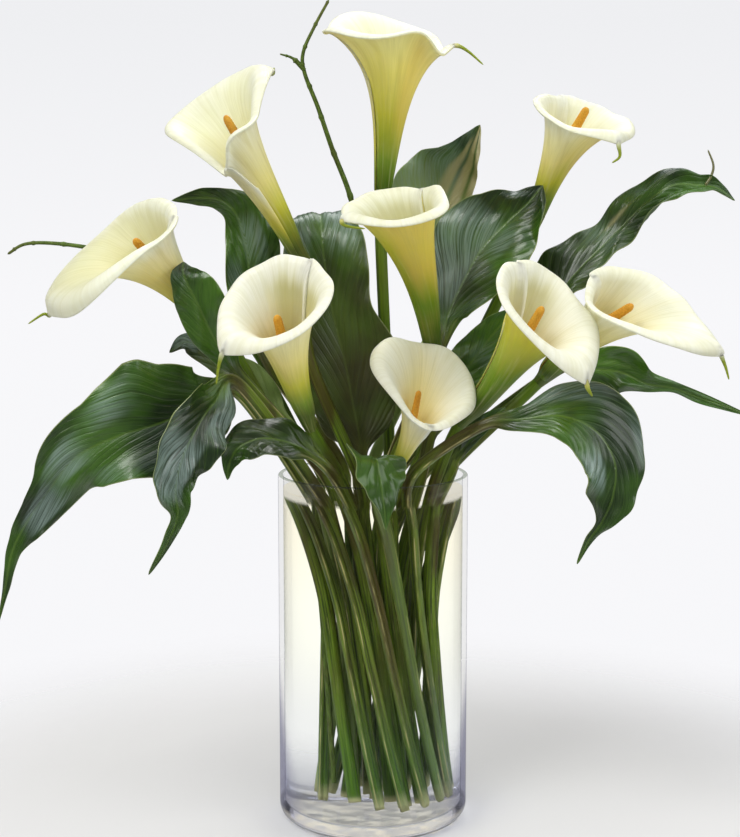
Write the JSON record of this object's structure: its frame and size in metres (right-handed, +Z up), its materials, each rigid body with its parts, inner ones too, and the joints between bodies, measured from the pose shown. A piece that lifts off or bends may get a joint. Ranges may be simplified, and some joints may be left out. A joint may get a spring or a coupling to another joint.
{
  "type": "calla lily arrangement in a vase",
  "caption": "White calla lilies with dark leaves and thin bare twigs, standing loosely in a straight clear glass cylinder vase filled with water.",
  "frame": {"origin": "centre of the vase's underside, on the surface it stands on", "axes": "+Z up out of the vase, -Y to the front that the picture shows, +X to the viewer's right"},
  "size_m": [0.5056, 0.2177, 0.5564],
  "materials": {
    "vase": "clear and polished",
    "water": "clear water",
    "spathe": "waxy cream white, yellow in the throat and green at the foot",
    "spadix": "powdery orange yellow",
    "stem": "smooth fresh green",
    "leaf": "glossy dark green",
    "twig": "dull olive bark"
  },
  "bodies": {
    "root": {"vase": "vase", "water": "water", "spathe_top": "spathe", "spadix_top": "spadix", "stem_top": "stem", "spathe_upper_left": "spathe", "spadix_upper_left": "spadix", "stem_upper_left": "stem", "spathe_left": "spathe", "spadix_left": "spadix", "stem_left": "stem", "spathe_front_left": "spathe", "spadix_front_left": "spadix", "stem_front_left": "stem", "spathe_centre": "spathe", "spadix_centre": "spadix", "stem_centre": "stem", "spathe_front": "spathe", "spadix_front": "spadix", "stem_front": "stem", "spathe_right_front": "spathe", "spadix_right_front": "spadix", "stem_right_front": "stem", "spathe_right": "spathe", "spadix_right": "spadix", "stem_right": "stem", "spathe_upper_right": "spathe", "spadix_upper_right": "spadix", "stem_upper_right": "stem", "leaf_left_long": "leaf", "leaf_left_front": "leaf", "leaf_upper_left": "leaf", "leaf_centre_left": "leaf", "leaf_back_top": "leaf", "leaf_centre_right": "leaf", "leaf_right_upper": "leaf", "leaf_left_inner": "leaf", "leaf_left_back": "leaf", "leaf_right_drop": "leaf", "leaf_right_tail": "leaf", "leaf_front_tip": "leaf", "leaf_left_low": "leaf", "leaf_right_low": "leaf", "leaf_centre_low": "leaf", "twig_top": "twig", "twig_left": "twig"}
  },
  "joints": []
}
